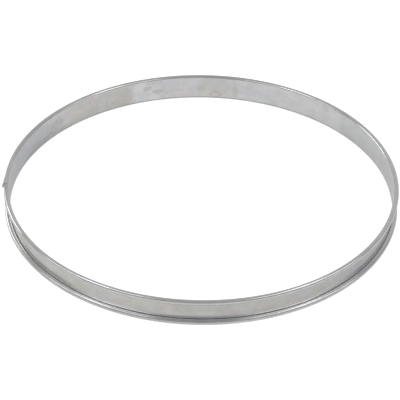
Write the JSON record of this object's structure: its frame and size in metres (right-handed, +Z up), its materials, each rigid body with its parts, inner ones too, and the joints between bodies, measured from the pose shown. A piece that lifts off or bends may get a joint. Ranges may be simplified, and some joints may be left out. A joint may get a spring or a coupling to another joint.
{
  "type": "tart ring",
  "caption": "Low bottomless baking hoop of satin stainless sheet with both edges rolled outward into open curls.",
  "frame": {"origin": "on the hoop's axis, in the plane that the lower rolled edge stands on", "axes": "+Z up along the hoop's axis; the welded seam is on the -X side"},
  "size_m": [0.2888, 0.2876, 0.0205],
  "materials": {
    "stainless_steel": "satin"
  },
  "bodies": {
    "root": {"tart_ring": "stainless_steel"}
  },
  "joints": []
}
